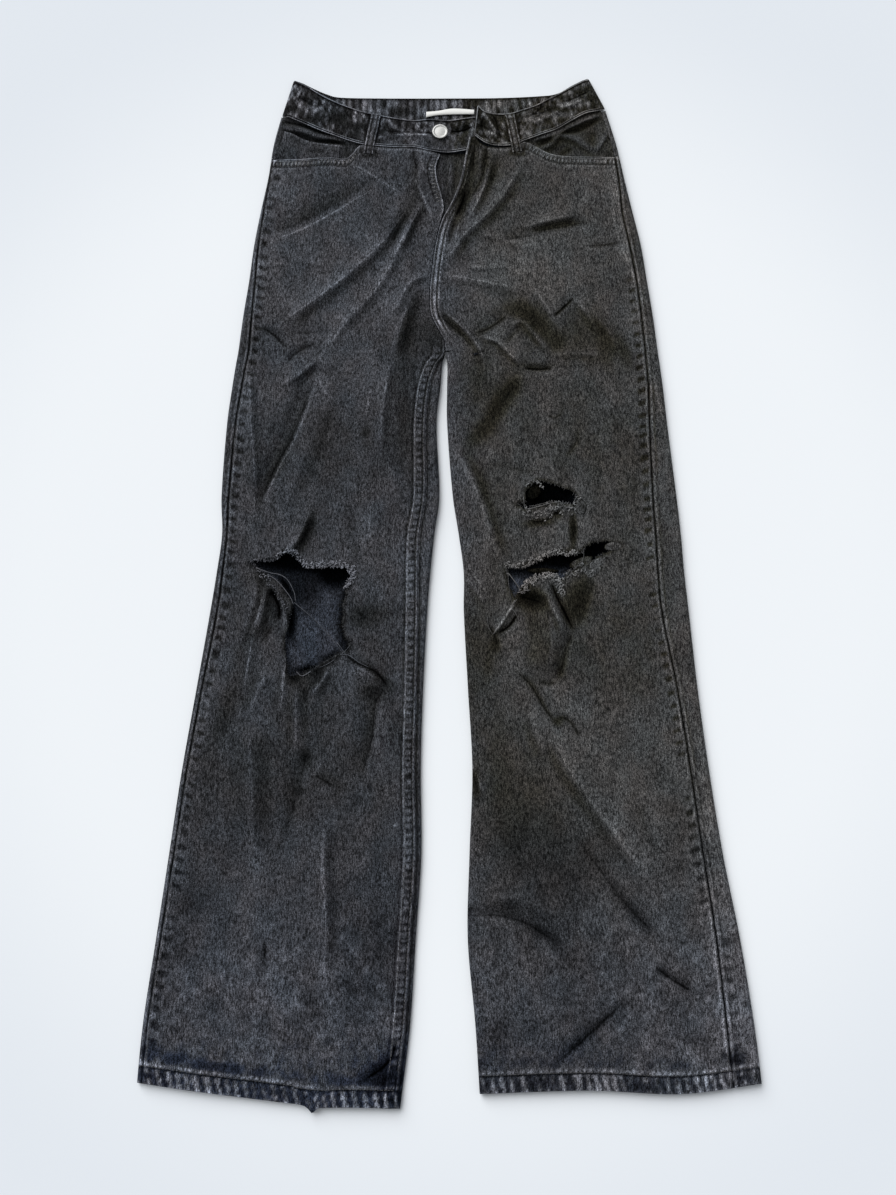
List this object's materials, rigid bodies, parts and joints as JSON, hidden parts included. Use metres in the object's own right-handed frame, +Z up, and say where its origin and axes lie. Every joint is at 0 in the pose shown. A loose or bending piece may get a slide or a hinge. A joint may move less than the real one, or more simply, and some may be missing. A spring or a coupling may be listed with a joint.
{
  "type": "ripped jeans",
  "caption": "Ripped wide-leg jeans of washed black denim, laid flat front up, waist button undone and fly half open, torn at both knees and on the left thigh.",
  "frame": {"origin": "middle of the laid garment's plan, on the surface it lies on", "axes": "+Y towards the waist, +X towards the wearer's left leg, +Z up out of the surface, so the fronts face +Z"},
  "size_m": [0.5876, 1.0752, 0.0106],
  "materials": {
    "denim_1": "matte washed black denim",
    "denim_2": "matte washed black denim",
    "denim_3": "matte washed black denim",
    "denim_4": "matte washed black denim",
    "denim_5": "matte washed black denim",
    "denim_6": "matte washed black denim",
    "denim_7": "matte washed black denim",
    "denim_8": "matte washed black denim",
    "denim_9": "matte washed black denim",
    "denim_10": "matte washed black denim",
    "denim_11": "matte washed black denim",
    "facing_1": "matte denim",
    "facing_2": "matte denim",
    "denim_12": "matte washed black denim",
    "denim_13": "matte washed black denim",
    "button_metal": "worn silver",
    "label_cloth": "blank woven tape"
  },
  "bodies": {
    "root": {"front_right": "denim_1", "front_left": "denim_2", "back_right": "denim_3", "back_left": "denim_4", "yoke_right": "denim_5", "yoke_left": "denim_6", "back_pocket_right": "denim_7", "back_pocket_left": "denim_8", "waistband": "denim_9", "belt_loop_right": "denim_10", "belt_loop_left": "denim_11", "pocket_facing_right": "facing_1", "pocket_facing_left": "facing_2", "coin_pocket": "denim_12", "fly_shield": "denim_13", "waist_button": "button_metal", "inner_label": "label_cloth"}
  },
  "joints": []
}
